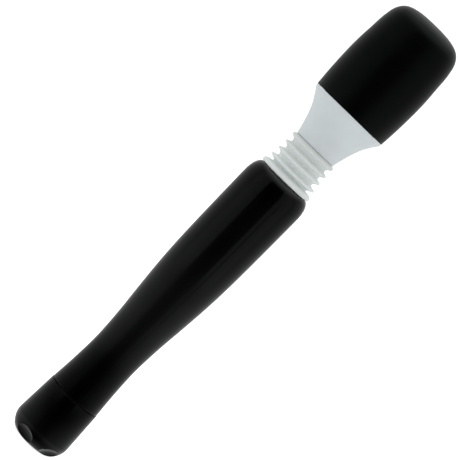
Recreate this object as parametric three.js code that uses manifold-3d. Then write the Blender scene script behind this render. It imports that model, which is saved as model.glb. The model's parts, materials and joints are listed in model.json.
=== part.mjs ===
// A slim battery wand massager, standing on its base: a twist dial and battery door at the
// bottom, a waisted black handle, a ribbed white neck that bends, and a motor head under a
// soft black cover. Millimetres, +Z up along the wand, origin at the centre of the base.
import * as THREE from "three";
import { mergeVertices } from "three/addons/utils/BufferGeometryUtils.js";
import Module from "manifold-3d";

// ---------------------------------------------------------------- driving dimensions

const TOTAL_HEIGHT = 221.6;
const GAP = 0.3; // between pieces that meet face to face
const FIT = 0.2; // radial clearance of one round piece in another

const CELL_RADIUS = 7.1; // AA cell
const CELL_LENGTH = 50.4; // over its positive nub
const CELL_NUB_RADIUS = 2.75;
const CELL_NUB_HEIGHT = 1.2;
const CELL_BASE = 15; // where the lower cell stands on its spring
const CELL_BORE = 7.5;

const DIAL_TOP = 24.5;
const DIAL_GAP = 0.45; // between the dial and the handle
const DIAL_TOP_RADIUS = 11.5;
const DIAL_WIDEST = 12.4;
const DIAL_CORNER_HEIGHT = 7.3; // height of the dial's widest ring above the base
const DIAL_FOOT_RADIUS = 6.5; // the flat that the wand stands on
const DIAL_BORE = 10;
const SCALLOPS = 5;
const SCALLOP_RADIUS = 9.75; // of the ball that cuts each finger scallop
const SCALLOP_HALF_WIDTH = 11.5; // the ball is stretched sideways to this
const SCALLOP_REACH = 17.3; // from the axis to the ball's centre
const SCALLOP_DROP = 3; // from the base down to the ball's centre
const FIRST_SCALLOP = THREE.MathUtils.degToRad(-39.5);

const SHELL_REAR = DIAL_TOP + DIAL_GAP;
const SHELL_TOP = 139.85;
const SHELL_WAIST = 47;
const SHELL_WIDEST = 13.95;
const SHELL_CORNER = { across: 3.6, along: 7.2, sweep: THREE.MathUtils.degToRad(72) };
const DOOR_BORE = 9.2;
const DOOR_BORE_TOP = 35.4;
const SHELL_BORE = 8.5;
const SHELL_LIP = 7.8; // bore of the lip between the door's bore and the battery tube
const SHELL_CAVITY = 11;

const FLANGE_BOTTOM = SHELL_TOP + GAP;
const FLANGE_RADIUS = 12;
const SLEEVE_RADIUS = 8.6;
const SLEEVE_BORE = 6.4;
const RIB_TIPS = [11.05, 10.65, 10.4]; // tip radius of each free rib, from the handle up
const RIB_HEIGHTS = [144.55, 148.1, 151.65];
const RIB_HALF_WIDTH = 1.15;
const RIB_DRAFT = 0.2; // the tube is that much wider under each rib, and narrower over it
const RIB_TIP_HALF_WIDTH = 0.3;
const COLLAR_BOTTOM = 156.7;
const SPRING_RADIUS = 5.55;
const SPRING_WIRE = 0.4;
const SPRING_TURNS = 10;
const SPRING_TOP = 163.1;

const LIP_TOP = 175.2;
const LIP_RADIUS = 16.8;
const COVER_BOTTOM = LIP_TOP + GAP;
const DOME_RADIUS = 15.1;
const DOME_BORE = 13.3;
const DOME_LEDGE = { height: 199, bore: 12.3 }; // the step that holds the motor clamp down
const DOME_TOP = 218.9;
const DOME_SHOULDER = { centre: [9, 211], steps: 5 }; // the dome's rounded edge

const MOTOR_RADIUS = 10;
const MOTOR_FLAT = 7.55; // half the distance over the motor's two flats
const MOTOR_BOTTOM = 173.5;
const MOTOR_TOP = 197;
const MOTOR_SPLIT = 178.4; // where the can meets the end bell
const SHAFT_RADIUS = 1;
const BEARING_RADIUS = SHAFT_RADIUS + 0.15;

const STRIP_ANGLE = Math.PI / 2; // the side on which the current returns, +Y
const SEGMENTS = { outer: 40, inner: 24, small: 14 };

// ---------------------------------------------------------------- materials

const finish = (color, roughness, metalness = 0) =>
  new THREE.MeshStandardMaterial({ color, roughness, metalness });
const GLOSS_BLACK = finish(0x0b0c0d, 0.18);
const SATIN_BLACK = finish(0x0d0e0f, 0.45);
const SOFT_BLACK = finish(0x111213, 0.65);
const WHITE_PLASTIC = finish(0xdfe6e7, 0.35);
const WHITE_SOFT = finish(0xdde3e1, 0.5);
const NATURAL_PLASTIC = finish(0xc9cac4, 0.5);
const BRASS = finish(0xc9a24a, 0.3, 1);
const STEEL = finish(0xb4b7ba, 0.3, 1);
const COPPER = finish(0xb4693c, 0.35, 1);
const FERRITE = finish(0x2c2c2e, 0.8);
const BOARD = finish(0x1f5b3a, 0.5);
const CELL_JACKET = finish(0x3a4f63, 0.3);
const RED_LEAD = finish(0xb3231d, 0.45);
const BLACK_LEAD = finish(0x151515, 0.45);
const NITRILE = finish(0x1a1a1b, 0.6);

// ---------------------------------------------------------------- shape helpers

const wasm = await Module();
wasm.setup();

// A geometry as a manifold solid, in its own place.
function solidOf(geometry) {
  const bare = geometry.index ? geometry.toNonIndexed() : geometry.clone();
  bare.deleteAttribute("normal");
  bare.deleteAttribute("uv");
  const merged = mergeVertices(bare, 1e-4);
  return new wasm.Manifold(
    new wasm.Mesh({
      numProp: 3,
      vertProperties: merged.attributes.position.array,
      triVerts: new Uint32Array(merged.index.array),
    }),
  );
}

function geometryOf(solid) {
  const { vertProperties, triVerts } = solid.getMesh();
  return new THREE.BufferGeometry()
    .setAttribute("position", new THREE.BufferAttribute(vertProperties, 3))
    .setIndex(new THREE.BufferAttribute(triVerts, 1));
}

// The first geometry with the others cut out of it.
function cut(geometry, ...cutters) {
  const left = cutters.reduce((s, c) => s.subtract(solidOf(c)), solidOf(geometry));
  return geometryOf(left);
}

function joined(...geometries) {
  return geometryOf(geometries.map(solidOf).reduce((a, b) => a.add(b)));
}

function common(a, b) {
  return geometryOf(solidOf(a).intersect(solidOf(b)));
}

// A solid of revolution about Z. The profile is a loop of [radius, height] points that runs
// up the outside and down the inside, or starts and ends on the axis.
function turned(profile, segments = SEGMENTS.inner) {
  const points = profile.map(([radius, height]) => new THREE.Vector2(radius, height));
  const onAxis = profile[0][0] === 0;
  if (!onAxis) points.push(points[0].clone());
  return new THREE.LatheGeometry(points, segments).rotateX(Math.PI / 2);
}

// A ring of rectangular section, or a disc when inner is 0.
function ring(inner, outer, bottom, top, segments = SEGMENTS.inner) {
  const wall = [
    [outer, bottom],
    [outer, top],
  ];
  return inner > 0
    ? turned([[inner, bottom], ...wall, [inner, top]], segments)
    : turned([[0, bottom], ...wall, [0, top]], segments);
}

// Points of a quarter ellipse round [centreRadius, centreHeight], from one angle to the other.
function corner([centreRadius, centreHeight], across, along, from, to, steps = 5) {
  return Array.from({ length: steps + 1 }, (_, i) => {
    const angle = from + ((to - from) * i) / steps;
    return [centreRadius + across * Math.cos(angle), centreHeight + along * Math.sin(angle)];
  });
}

// A smooth line through [radius, height] points.
function smooth(points, steps) {
  const line = new THREE.SplineCurve(points.map(([r, z]) => new THREE.Vector2(r, z)));
  return line.getPoints(steps).map((p) => [p.x, p.y]);
}

function block(width, depth, bottom, top, x = 0, y = 0) {
  const height = top - bottom;
  return new THREE.BoxGeometry(width, depth, height).translate(x, y, bottom + height / 2);
}

// A round wire along a smooth curve through the points.
function wire(points, radius, steps, sides = 6) {
  const section = new THREE.Shape(
    Array.from({ length: sides }, (_, i) => {
      const angle = (2 * Math.PI * i) / sides;
      return new THREE.Vector2(radius * Math.cos(angle), radius * Math.sin(angle));
    }),
  );
  const path = new THREE.CatmullRomCurve3(points.map((p) => new THREE.Vector3(...p)));
  return new THREE.ExtrudeGeometry(section, { steps, extrudePath: path });
}

// A coil spring about Z whose radius runs evenly from its bottom to its top.
function coil(bottomRadius, topRadius, bottom, top, turns, wireRadius, perTurn = 9) {
  const count = turns * perTurn;
  const points = Array.from({ length: count + 1 }, (_, i) => {
    const share = i / count;
    const radius = bottomRadius + (topRadius - bottomRadius) * share;
    const angle = 2 * Math.PI * turns * share;
    const height = bottom + wireRadius + (top - bottom - 2 * wireRadius) * share;
    return [radius * Math.cos(angle), radius * Math.sin(angle), height];
  });
  return wire(points, wireRadius, count, 5);
}

function extruded(shape, bottom, top, curveSegments = 8) {
  const options = { depth: top - bottom, bevelEnabled: false, curveSegments };
  return new THREE.ExtrudeGeometry(shape, options).translate(0, 0, bottom);
}

const wand = new THREE.Group();

function add(name, geometry, material) {
  const mesh = new THREE.Mesh(geometry, material);
  mesh.name = name;
  wand.add(mesh);
}

// ---------------------------------------------------------------- speed dial

const DIAL_HUB = 2.4;
const DIAL_HUB_TOP = 10.4;
const DIAL_FLOOR = 5.2;
const DIAL_POCKET = { radius: 6.4, floor: 2 };
const DIAL_CHAMFER = { across: 0.5, along: 2 }; // where the dial's bore meets its floor
const WIPER = { inner: 6.8, outer: 9.1, thickness: 0.3, height: 1.6, finger: [1.2, 1.6], reach: 8 };
const CLIP_RADIUS = 4.5;
const PLUG_FLOOR = { bottom: 8, top: 9.4, bore: 2.6 };

function dialCap() {
  const body = turned(
    [
      [0, 0],
      ...corner(
        [DIAL_FOOT_RADIUS, DIAL_CORNER_HEIGHT],
        DIAL_WIDEST - DIAL_FOOT_RADIUS,
        DIAL_CORNER_HEIGHT,
        -Math.PI / 2,
        0,
        7,
      ),
      [DIAL_TOP_RADIUS, DIAL_TOP],
      [DIAL_BORE, DIAL_TOP],
      [DIAL_BORE, DIAL_FLOOR + DIAL_CHAMFER.along],
      [DIAL_BORE - DIAL_CHAMFER.across, DIAL_FLOOR],
      [DIAL_POCKET.radius, DIAL_FLOOR],
      [DIAL_POCKET.radius, DIAL_POCKET.floor],
      [DIAL_HUB, DIAL_POCKET.floor],
      [DIAL_HUB, DIAL_HUB_TOP],
      [0, DIAL_HUB_TOP],
    ],
    SEGMENTS.outer,
  );
  const balls = Array.from({ length: SCALLOPS }, (_, i) => {
    const angle = FIRST_SCALLOP + (2 * Math.PI * i) / SCALLOPS;
    return new THREE.SphereGeometry(SCALLOP_RADIUS, 24, 14)
      .scale(1, SCALLOP_HALF_WIDTH / SCALLOP_RADIUS, 1)
      .translate(SCALLOP_REACH, 0, -SCALLOP_DROP)
      .rotateZ(angle);
  });
  return cut(body, ...balls);
}

// A brass ring with one finger bent up to the track.
function speedWiper() {
  const seat = DIAL_FLOOR + 0.1;
  const flat = ring(WIPER.inner, WIPER.outer, seat, seat + WIPER.thickness);
  const finger = block(...WIPER.finger, seat, seat + WIPER.height, WIPER.reach);
  return joined(flat, finger);
}

add("dial_cap", dialCap(), GLOSS_BLACK);
add("speed_wiper", speedWiper(), BRASS);
add(
  "dial_clip",
  ring(DIAL_HUB + 0.05, CLIP_RADIUS, PLUG_FLOOR.top + 0.1, PLUG_FLOOR.top + 0.5, SEGMENTS.outer),
  STEEL,
);

// ---------------------------------------------------------------- battery door

const PLUG_RADIUS = DOOR_BORE - FIT;
const PLUG_BORE = 7.6;
const PLUG_TOP = 34.4;
const PLUG_FLANGE = { radius: 9.8, bottom: 23.2, top: 24.75 };
const SEAL_GROOVE = { radius: 8.4, bottom: 28, top: 29.4 };
const SEAL_WIRE = 0.3;
const TERMINAL = { inner: 7.68, outer: 7.9, width: 3, hook: 1.1 };
const TERMINAL_SLOT = { width: TERMINAL.width + 0.6, depth: 1, middle: 7.55 };
const TRACK = { inner: 6.5, outer: 8.9, thickness: 0.8 };
const PLATE = { inner: 5, outer: 7.3, thickness: 0.3 };
const CONTACT_SPRING = { bottomRadius: 6.2, topRadius: 3.2, turns: 4, wire: 0.3 };

function doorPlug() {
  const body = turned([
    [PLUG_FLOOR.bore, PLUG_FLOOR.bottom],
    [PLUG_RADIUS, PLUG_FLOOR.bottom],
    [PLUG_RADIUS, PLUG_FLANGE.bottom],
    [PLUG_FLANGE.radius, PLUG_FLANGE.bottom],
    [PLUG_FLANGE.radius, PLUG_FLANGE.top],
    [PLUG_RADIUS, PLUG_FLANGE.top],
    [PLUG_RADIUS, SEAL_GROOVE.bottom],
    [SEAL_GROOVE.radius, SEAL_GROOVE.bottom],
    [SEAL_GROOVE.radius, SEAL_GROOVE.top],
    [PLUG_RADIUS, SEAL_GROOVE.top],
    [PLUG_RADIUS, PLUG_TOP],
    [PLUG_BORE, PLUG_TOP],
    [PLUG_BORE, PLUG_FLOOR.top],
    [PLUG_FLOOR.bore, PLUG_FLOOR.top],
  ]);
  const { width, depth, middle } = TERMINAL_SLOT;
  return cut(body, block(width, depth, PLUG_FLOOR.top, PLUG_TOP + 1, 0, middle));
}

// A flat brass strip up the inside of the plug, hooked over its rim.
function doorTerminal() {
  const { inner, outer, width, hook } = TERMINAL;
  const middle = (inner + outer) / 2;
  const top = PLUG_TOP + 0.35;
  const upright = block(width, outer - inner, PLUG_FLOOR.top + GAP, top, 0, middle);
  return joined(upright, block(width, hook, PLUG_TOP + 0.1, top, 0, middle + 0.4));
}

function doorSeal() {
  const { radius, bottom, top } = SEAL_GROOVE;
  const seal = new THREE.TorusGeometry(radius + SEAL_WIRE + 0.08, SEAL_WIRE, 6, SEGMENTS.inner);
  return seal.translate(0, 0, (bottom + top) / 2);
}

function contactSpring() {
  const { bottomRadius, topRadius, turns, wire: radius } = CONTACT_SPRING;
  return coil(bottomRadius, topRadius, PLUG_FLOOR.top + 0.5, CELL_BASE - 0.1, turns, radius);
}

add("door_plug", doorPlug(), SATIN_BLACK);
add("door_terminal", doorTerminal(), BRASS);
add("door_seal", doorSeal(), NITRILE);
const trackTop = PLUG_FLOOR.bottom - 0.1;
add("speed_track", ring(TRACK.inner, TRACK.outer, trackTop - TRACK.thickness, trackTop), BOARD);
const plateBottom = PLUG_FLOOR.top + 0.1;
add(
  "contact_plate",
  ring(PLATE.inner, PLATE.outer, plateBottom, plateBottom + PLATE.thickness),
  BRASS,
);
add("contact_spring", contactSpring(), STEEL);

// ---------------------------------------------------------------- cells

function cell(bottom) {
  const shoulder = bottom + CELL_LENGTH - CELL_NUB_HEIGHT;
  const bevel = 0.5;
  return turned([
    [0, bottom],
    [CELL_RADIUS - bevel, bottom],
    [CELL_RADIUS, bottom + bevel],
    [CELL_RADIUS, shoulder - bevel],
    [CELL_RADIUS - bevel, shoulder],
    [CELL_NUB_RADIUS, shoulder],
    [CELL_NUB_RADIUS, shoulder + CELL_NUB_HEIGHT],
    [0, shoulder + CELL_NUB_HEIGHT],
  ]);
}

add("lower_cell", cell(CELL_BASE), CELL_JACKET);
add("upper_cell", cell(CELL_BASE + CELL_LENGTH + 0.1), CELL_JACKET);

// ---------------------------------------------------------------- handle

const STRIP = { inner: 8.62, outer: 8.87, width: 3 };
const STRIP_GROOVE = { width: STRIP.width + 1, depth: 1.8, middle: 8.2, top: 76 };
const SHELL_BORE_TOP = 62;
const CAVITY_FULL = 112; // above this height the cavity has its full bore
const CAVITY_TAPER = [
  [10.8, 97],
  [9.9, 82],
];
const TUBE = { bottom: 36.7, top: 116.6, radius: 8.3 };
const FINS = { bottom: 99, radius: 10.5, thickness: 1.2, count: 3 };
const CARRIER = { bottom: 116.9, top: 120.9, radius: SHELL_CAVITY - GAP, stemBore: 1.2 };
const CARRIER_SLOT = { width: STRIP.width + 0.6, depth: 0.9, middle: 8.75 }; // for the strip
const CONTACT = { bottom: CELL_BASE + 2 * CELL_LENGTH + 0.25, radius: 4.5, thickness: 0.4, stem: 0.9 };
const SOCKET = {
  bottom: 121.2,
  floor: 126.5,
  seat: 128,
  ledge: 133.3,
  top: SHELL_TOP - 0.4,
  radius: SHELL_CAVITY - FIT,
  bore: 9.6,
  lip: 8.7,
};

// The outline of the handle: widest under the neck, narrowest where the hand holds it.
const SHELL_OUTLINE = [
  [11.35, SHELL_REAR],
  [10.6, 35],
  [10.15, SHELL_WAIST],
  [10.75, 59.5],
  [11.85, 71.5],
  [12.9, 84],
  [13.5, 96],
  [13.8, 112],
  [SHELL_WIDEST, 129],
];

function handleShell() {
  const { across, along, sweep } = SHELL_CORNER;
  const cornerCentre = [SHELL_WIDEST - across, SHELL_TOP - along * Math.sin(sweep)];
  const body = turned(
    [
      [DOOR_BORE, SHELL_REAR],
      ...smooth(SHELL_OUTLINE, 11),
      ...corner(cornerCentre, across, along, 0, sweep, 4),
      [SHELL_CAVITY, SHELL_TOP],
      [SHELL_CAVITY, CAVITY_FULL],
      ...CAVITY_TAPER,
      [SHELL_BORE, SHELL_BORE_TOP],
      [SHELL_BORE, DOOR_BORE_TOP + 1],
      [SHELL_LIP, DOOR_BORE_TOP + 1],
      [SHELL_LIP, DOOR_BORE_TOP],
      [DOOR_BORE, DOOR_BORE_TOP],
    ],
    SEGMENTS.outer,
  );
  const groove = block(
    STRIP_GROOVE.width,
    STRIP_GROOVE.depth,
    DOOR_BORE_TOP - 1,
    STRIP_GROOVE.top,
    0,
    STRIP_GROOVE.middle,
  );
  return cut(body, groove);
}

function batteryTube() {
  const tube = ring(CELL_BORE, TUBE.radius, TUBE.bottom, TUBE.top);
  const fins = Array.from({ length: FINS.count }, (_, i) => {
    const from = TUBE.radius - 0.4;
    const length = FINS.radius - from;
    return block(length, FINS.thickness, FINS.bottom, TUBE.top, from + length / 2).rotateZ(
      -STRIP_ANGLE + (2 * Math.PI * i) / FINS.count,
    );
  });
  return joined(tube, ...fins);
}

// The negative strip: a foot that meets the door's terminal, and a long run up the tube.
function busStrip() {
  const { inner, outer, width } = STRIP;
  const middle = (inner + outer) / 2;
  const bottom = PLUG_TOP + 0.5;
  const foot = block(width, 0.5, bottom, bottom + 0.25, 0, middle);
  return joined(foot, block(width, outer - inner, bottom, CARRIER.top + 1.6, 0, middle));
}

function contactCarrier() {
  const disc = ring(CARRIER.stemBore, CARRIER.radius, CARRIER.bottom, CARRIER.top);
  const { width, depth, middle } = CARRIER_SLOT;
  return cut(disc, block(width, depth, CARRIER.bottom - 1, CARRIER.top + 1, 0, middle));
}

// A brass disc under the carrier with a stem up through it for the red lead.
function positiveContact() {
  const plateTop = CONTACT.bottom + CONTACT.thickness;
  const stemTop = CARRIER.top + 1;
  return turned(
    [
      [0, CONTACT.bottom],
      [CONTACT.radius, CONTACT.bottom],
      [CONTACT.radius, plateTop],
      [CONTACT.stem, plateTop],
      [CONTACT.stem, stemTop],
      [0, stemTop],
    ],
    SEGMENTS.small,
  );
}

// The bush in the handle's mouth: a ring that the sleeve snaps into, over a floor with a
// boss that centres the spring.
function neckSocket() {
  const boss = { radius: 4.6, top: SOCKET.seat + 3.5, bore: 3.4 };
  return turned([
    [SOCKET.radius, SOCKET.bottom],
    [SOCKET.radius, SOCKET.top],
    [SOCKET.lip, SOCKET.top],
    [SOCKET.lip, SOCKET.ledge],
    [SOCKET.bore, SOCKET.ledge],
    [SOCKET.bore, SOCKET.seat],
    [boss.radius, SOCKET.seat],
    [boss.radius, boss.top],
    [boss.bore, boss.top],
    [boss.bore, SOCKET.floor],
    [SOCKET.bore, SOCKET.floor],
    [SOCKET.bore, SOCKET.bottom],
  ]);
}

add("handle_shell", handleShell(), GLOSS_BLACK);
add("battery_tube", batteryTube(), NATURAL_PLASTIC);
add("bus_strip", busStrip(), BRASS);
add("contact_carrier", contactCarrier(), NATURAL_PLASTIC);
add("positive_contact", positiveContact(), BRASS);
add("neck_socket", neckSocket(), SATIN_BLACK);

// ---------------------------------------------------------------- neck

const SLEEVE_BOTTOM = 129;
const SLEEVE_TAIL = 8.4; // in the socket's lip
const SLEEVE_NOSE = 7.5; // in the collar's ring
const TAIL_BEAD = { radius: 9.2, top: SOCKET.ledge - GAP };
const NOSE_BEAD = { radius: 8, bottom: COLLAR_BOTTOM + 3.6, top: COLLAR_BOTTOM + 4.8 };
const TOP_RIB = { radius: 10.3, bottom: COLLAR_BOTTOM - 1.75, top: COLLAR_BOTTOM - 1 };

// One free rib of the sleeve: a thin disc that tapers to its tip.
const rib = (tip, height) => [
  [SLEEVE_RADIUS + RIB_DRAFT, height - RIB_HALF_WIDTH],
  [tip, height - RIB_TIP_HALF_WIDTH],
  [tip, height + RIB_TIP_HALF_WIDTH],
  [SLEEVE_RADIUS - RIB_DRAFT, height + RIB_HALF_WIDTH],
];

// The sleeve from its bead in the socket, past a flange on the handle's shoulder and its ribs,
// to its bead in the collar.
function neckSleeve() {
  return turned([
    [SLEEVE_BORE, SLEEVE_BOTTOM],
    [TAIL_BEAD.radius, SLEEVE_BOTTOM],
    [TAIL_BEAD.radius, TAIL_BEAD.top],
    [SLEEVE_TAIL, TAIL_BEAD.top],
    [SLEEVE_TAIL, FLANGE_BOTTOM],
    [FLANGE_RADIUS - 0.4, FLANGE_BOTTOM],
    [FLANGE_RADIUS, FLANGE_BOTTOM + 0.8],
    [FLANGE_RADIUS - 0.25, FLANGE_BOTTOM + 1.45],
    [FLANGE_RADIUS - 1.2, FLANGE_BOTTOM + 2.05],
    [SLEEVE_RADIUS - 0.5 * RIB_DRAFT, FLANGE_BOTTOM + 2.5],
    ...RIB_TIPS.flatMap((tip, i) => rib(tip, RIB_HEIGHTS[i])),
    [SLEEVE_RADIUS + RIB_DRAFT, TOP_RIB.bottom - 0.8],
    [TOP_RIB.radius, TOP_RIB.bottom],
    [TOP_RIB.radius, TOP_RIB.top],
    [TOP_RIB.radius - 0.8, COLLAR_BOTTOM - 0.2],
    [SLEEVE_NOSE, COLLAR_BOTTOM - 0.2],
    [SLEEVE_NOSE, NOSE_BEAD.bottom],
    [NOSE_BEAD.radius, NOSE_BEAD.bottom],
    [NOSE_BEAD.radius, NOSE_BEAD.top],
    [SLEEVE_BORE, NOSE_BEAD.top],
  ]);
}

add("neck_sleeve", neckSleeve(), WHITE_SOFT);
add(
  "neck_spring",
  coil(SPRING_RADIUS, SPRING_RADIUS, SOCKET.seat + 0.1, SPRING_TOP, SPRING_TURNS, SPRING_WIRE),
  STEEL,
);

// The two leads run side by side through the spring, with a little slack for bending.
const LEAD_RADIUS = 0.6;
const LEAD_STEPS = 22;

function redLead() {
  return wire(
    [
      [0, 0, CARRIER.top + 1.2],
      [0.2, -0.3, 124.2],
      [1.1, -1.2, 128],
      [1.5, -0.8, 134],
      [1.9, 0.6, 141],
      [1.7, 1.3, 148],
      [1.9, 0.4, 155],
      [1.6, -0.4, 162],
      [1.6, -0.3, 167],
      [1.8, -0.2, 169.6],
      [2.9, -0.1, 171.5],
      [5.1, 0, 172],
    ],
    LEAD_RADIUS,
    LEAD_STEPS,
  );
}

function blackLead() {
  return wire(
    [
      [0, 7.9, CARRIER.top + 1.1],
      [-0.6, 6.4, 123],
      [-1.4, 3.2, 124.6],
      [-1.3, 1.2, 128.4],
      [-1.2, 0.9, 134],
      [-1.7, -0.4, 141],
      [-1.8, -1.2, 148],
      [-1.7, -0.4, 155],
      [-1.5, 0.4, 162],
      [-1.6, 0.3, 167],
      [-1.8, 0.2, 169.6],
      [-2.9, 0.1, 171.5],
      [-5.1, 0, 172],
    ],
    LEAD_RADIUS,
    LEAD_STEPS,
  );
}

add("red_lead", redLead(), RED_LEAD);
add("black_lead", blackLead(), BLACK_LEAD);

// ---------------------------------------------------------------- head shells

const COLLAR_BORE = 7.7;
const COLLAR_SEAT = 160; // the inner ring that the sleeve snaps over ends here
const SPIGOT = { radius: 13.1, bore: 11.7, top: 182 };
const COLLAR_INSIDE = [
  [SPIGOT.bore, 171],
  [10.6, 167.2],
  [9.1, 163.2],
  [8.5, COLLAR_SEAT],
];

// The flare from the neck's seam to the rim under the cover.
const FLARE = [
  [9.35, COLLAR_BOTTOM],
  [9.9, 159.2],
  [10.65, 162],
  [11.65, 165.2],
  [13.15, 168.8],
  [15.1, 172.1],
];
const RIM = [
  [16.2, 173.7],
  [16.65, 174.5],
];

function headCollar() {
  return turned(
    [
      [COLLAR_BORE, COLLAR_BOTTOM],
      ...smooth(FLARE, 7),
      ...RIM,
      [LIP_RADIUS, LIP_TOP],
      [SPIGOT.radius, LIP_TOP],
      [SPIGOT.radius, SPIGOT.top],
      [SPIGOT.bore, SPIGOT.top],
      ...COLLAR_INSIDE,
      [COLLAR_BORE, COLLAR_SEAT],
    ],
    SEGMENTS.outer,
  );
}

// The dome's rounded edge, grown by a margin all round.
function domeShoulder(margin, from, to) {
  const { centre, steps } = DOME_SHOULDER;
  const across = DOME_RADIUS + margin - centre[0];
  const along = DOME_TOP + margin - centre[1];
  return corner(centre, across, along, from, to, steps);
}

function headDome() {
  const { height, bore } = DOME_LEDGE;
  const roof = DOME_TOP - 1.8;
  return turned([
    [0, roof],
    ...corner([7.5, 210], bore - 7.5, roof - 210, Math.PI / 2, 0, 4),
    [bore, height],
    [DOME_BORE, height],
    [DOME_BORE, COVER_BOTTOM],
    [DOME_RADIUS, COVER_BOTTOM],
    ...domeShoulder(0, 0, Math.PI / 2),
    [0, DOME_TOP],
  ]);
}

// The outline of the soft cover: barrel-shaped, with a rounded top edge and a low crown.
const COVER_OUTLINE = [
  [16.85, COVER_BOTTOM],
  [17.3, 181.5],
  [17.6, 188.5],
  [17.7, 194.5],
  [17.55, 199.8],
  [17.25, 204],
  [16.9, 209.8],
  [16.5, 212.7],
];
const COVER_EDGE = [
  [16, 215.1],
  [15.2, 217],
  [13.85, 218.8],
  [11.7, 220.25],
  [8, 221.25],
];

function headCover() {
  return turned(
    [
      [0, DOME_TOP + FIT],
      ...domeShoulder(FIT, Math.PI / 2, 0),
      [DOME_RADIUS + FIT, COVER_BOTTOM],
      ...smooth(COVER_OUTLINE, 7),
      ...COVER_EDGE,
      [0, TOTAL_HEIGHT],
    ],
    SEGMENTS.outer,
  );
}

add("head_collar", headCollar(), WHITE_PLASTIC);
add("head_dome", headDome(), WHITE_PLASTIC);
add("head_cover", headCover(), SOFT_BLACK);

// ---------------------------------------------------------------- motor and its mount

const CLAMP = { bottom: MOTOR_TOP + 0.2, top: MOTOR_TOP + 1.8, radius: 12.9, bore: 3.3 };
const CRADLE = { radius: 11.4, bottom: 159.6, floor: 170, top: MOTOR_TOP - 0.1, bore: 2.9 };
const CRADLE_SPIGOT = { radius: 4.6, top: 163.2 }; // the stub that centres the neck spring
const CRADLE_FLARE = [
  [8.6, 163.4],
  [8.7, 165],
  [10.4, 168.4],
];
const PILOT = { radius: 1, bottom: 188 }; // the holes that the screws bite into
const SCREW = { place: 9.55, radius: 0.85, tip: 189, head: 1.7, headHeight: 1.2, slot: 0.4 };
const CAN_WALL = 0.8;
const CAN_BOSS = { radius: 3, height: 1.5 };
const MAGNET = { inner: 7.2, outer: 9, bottom: 181, top: 194, half: 40 };
const POLES = { count: 3, radius: 6.5, neck: 5.6, bottom: 183, top: 192, half: 48 };
const POLE_ARM = { length: 4, width: 1.8, middle: 4 };
const CORE = { radius: 3, bottom: 182, top: 193 };
const COMMUTATOR = { radius: 2.4, bottom: 178.8, top: 181.6 };
const WEIGHT = { radius: 9.5, bottom: 200.6, top: 208.6, hub: 3 };
const SHAFT = { bottom: MOTOR_BOTTOM + 1.2, top: WEIGHT.top + 0.7 };
const TAG = { thickness: 0.4, width: 2, bottom: 170.4, place: 5.6 };

// A prism with the motor's section: round, with two flats facing +Y and -Y.
function motorPrism(radius, flat, bottom, top) {
  return common(ring(0, radius, bottom, top), block(2 * radius, 2 * flat, bottom, top));
}

function motorCradle() {
  const body = turned([
    [CRADLE.bore, CRADLE.bottom],
    [CRADLE_SPIGOT.radius, CRADLE.bottom],
    [CRADLE_SPIGOT.radius, CRADLE_SPIGOT.top],
    ...CRADLE_FLARE,
    [CRADLE.radius, CRADLE.floor + 0.9],
    [CRADLE.radius, CRADLE.top],
    [CRADLE.bore, CRADLE.top],
  ]);
  const pocket = motorPrism(MOTOR_RADIUS + FIT, MOTOR_FLAT + 0.15, CRADLE.floor, CRADLE.top + 1);
  const pilots = [-1, 1].map((side) =>
    ring(0, PILOT.radius, PILOT.bottom, CRADLE.top + 1, SEGMENTS.small).translate(
      0,
      side * SCREW.place,
      0,
    ),
  );
  return cut(body, pocket, ...pilots);
}

function motorClamp() {
  const plate = ring(CLAMP.bore, CLAMP.radius, CLAMP.bottom, CLAMP.top);
  const holes = [-1, 1].map((side) =>
    ring(0, SCREW.radius + GAP, CLAMP.bottom - 1, CLAMP.top + 1, SEGMENTS.small).translate(
      0,
      side * SCREW.place,
      0,
    ),
  );
  return cut(plate, ...holes);
}

function clampScrew(side) {
  const head = CLAMP.top + 0.1;
  const screw = turned(
    [
      [0, SCREW.tip],
      [SCREW.radius, SCREW.tip + 0.6],
      [SCREW.radius, head],
      [SCREW.head, head],
      [SCREW.head - 0.1, head + 0.8],
      [SCREW.head - 0.8, head + SCREW.headHeight],
      [0, head + SCREW.headHeight],
    ],
    SEGMENTS.small,
  );
  const slot = block(3 * SCREW.head, SCREW.slot, head + 0.7, head + 2);
  return cut(screw, slot).translate(0, side * SCREW.place, 0);
}

function motorCan() {
  const room = motorPrism(
    MOTOR_RADIUS - CAN_WALL,
    MOTOR_FLAT - CAN_WALL,
    MOTOR_SPLIT - 1,
    MOTOR_TOP - CAN_WALL,
  );
  const shell = cut(motorPrism(MOTOR_RADIUS, MOTOR_FLAT, MOTOR_SPLIT + 0.1, MOTOR_TOP), room);
  const bossTop = MOTOR_TOP + CAN_BOSS.height;
  const boss = ring(0, CAN_BOSS.radius, MOTOR_TOP - 0.4, bossTop, SEGMENTS.small);
  const bore = ring(0, BEARING_RADIUS, MOTOR_TOP - 3, bossTop + 1, SEGMENTS.small);
  return cut(joined(shell, boss), bore);
}

function motorEndBell() {
  const body = motorPrism(MOTOR_RADIUS, MOTOR_FLAT, MOTOR_BOTTOM, MOTOR_SPLIT);
  const bearing = ring(0, BEARING_RADIUS, MOTOR_BOTTOM + 1, MOTOR_SPLIT + 1, SEGMENTS.small);
  return cut(body, bearing);
}

// Part of a flat ring, to half an angle in degrees each side of +X.
function sector(inner, outer, halfAngle) {
  const half = THREE.MathUtils.degToRad(halfAngle);
  return new THREE.Shape()
    .absarc(0, 0, outer, -half, half, false)
    .absarc(0, 0, inner, half, -half, true);
}

// One arc of ferrite on the round side of the can.
function magnet(side) {
  const arc = sector(MAGNET.inner, MAGNET.outer, MAGNET.half);
  return extruded(arc, MAGNET.bottom, MAGNET.top, 6).rotateZ(side > 0 ? 0 : Math.PI);
}

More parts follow.
